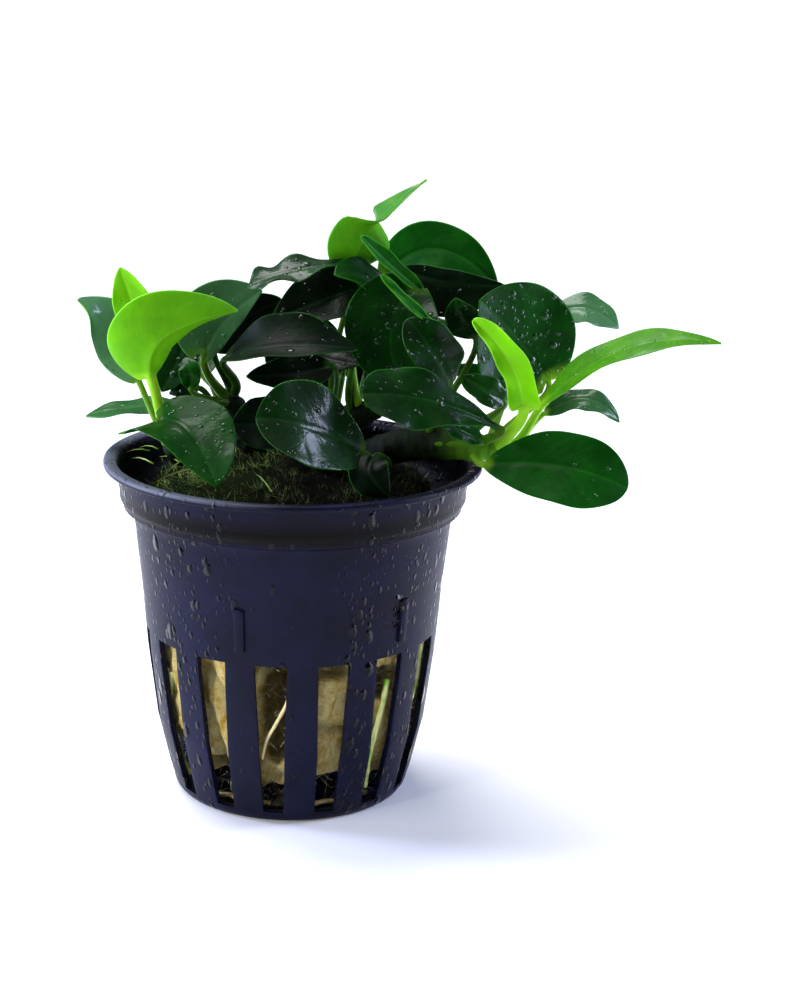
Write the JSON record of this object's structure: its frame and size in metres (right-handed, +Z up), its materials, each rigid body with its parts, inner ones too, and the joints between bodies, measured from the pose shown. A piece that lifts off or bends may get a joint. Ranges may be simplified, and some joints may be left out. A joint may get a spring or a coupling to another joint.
{
  "type": "potted anubias plant",
  "caption": "Dwarf anubias in a slotted tapered net pot: broad ovate leaves on stalks from creeping rhizomes, rooted in a plug of mineral wool.",
  "frame": {"origin": "centre of the pot's flat base", "axes": "+Z up along the pot's axis, -Y towards the side the plant faces, +X towards the long outer leaf"},
  "size_m": [0.0907, 0.0556, 0.0897],
  "materials": {
    "net_pot": "satin dark blue injection-moulded plastic, wet",
    "mineral_wool": "yellow-tan fibrous mineral wool with a dark mossy top",
    "leaf_grown": "glossy leathery dark green leaf",
    "leaf_young": "soft lime-green young leaf",
    "rhizome": "smooth green creeping stem with leaf scars",
    "root": "pale green to cream root"
  },
  "bodies": {
    "root": {"leaf_back_high": "leaf_grown", "leaf_back_left": "leaf_grown", "leaf_back_low": "leaf_grown", "leaf_back_middle": "leaf_grown", "leaf_back_right": "leaf_grown", "leaf_black_under": "leaf_grown", "leaf_centre_broad": "leaf_grown", "leaf_centre_gloss": "leaf_grown", "leaf_centre_right": "leaf_grown", "leaf_centre_small": "leaf_grown", "leaf_centre_strip": "leaf_grown", "leaf_dark_hanging": "leaf_grown", "leaf_edge_left": "leaf_grown", "leaf_front_behind": "leaf_grown", "leaf_front_gloss": "leaf_grown", "leaf_front_left": "leaf_grown", "leaf_grey_back_left": "leaf_grown", "leaf_grey_gloss": "leaf_grown", "leaf_grey_left": "leaf_grown", "leaf_lime_hood": "leaf_young", "leaf_lime_roll": "leaf_young", "leaf_lime_spear": "leaf_young", "leaf_little_dark": "leaf_grown", "leaf_little_heart": "leaf_grown", "leaf_long_oval": "leaf_grown", "leaf_long_right": "leaf_grown", "leaf_right_arch": "leaf_grown", "leaf_right_behind": "leaf_grown", "leaf_right_drops": "leaf_grown", "leaf_right_grey": "leaf_grown", "leaf_right_low": "leaf_grown", "leaf_right_olive": "leaf_grown", "leaf_rim_dark": "leaf_grown", "leaf_rolled_narrow": "leaf_young", "leaf_rolled_new": "leaf_young", "leaf_top_left_flat": "leaf_grown", "leaf_top_lime": "leaf_young", "leaf_top_right_back": "leaf_grown", "leaf_top_right_dark": "leaf_grown", "leaf_under_centre": "leaf_grown", "leaf_upper_dark": "leaf_grown", "leaf_upper_gloss": "leaf_grown", "mineral_wool": "mineral_wool", "net_pot": "net_pot", "rhizome_back": "rhizome", "rhizome_front": "rhizome", "rhizome_left": "rhizome", "rhizome_middle": "rhizome", "rhizome_right": "rhizome", "root_floor_left": "root", "root_floor_right": "root", "root_slot_back": "root", "root_slot_back_left": "root", "root_slot_front": "root", "root_slot_left_high": "root", "root_slot_left_low": "root", "root_slot_right_far": "root", "root_slot_right_near": "root"}
  },
  "joints": []
}
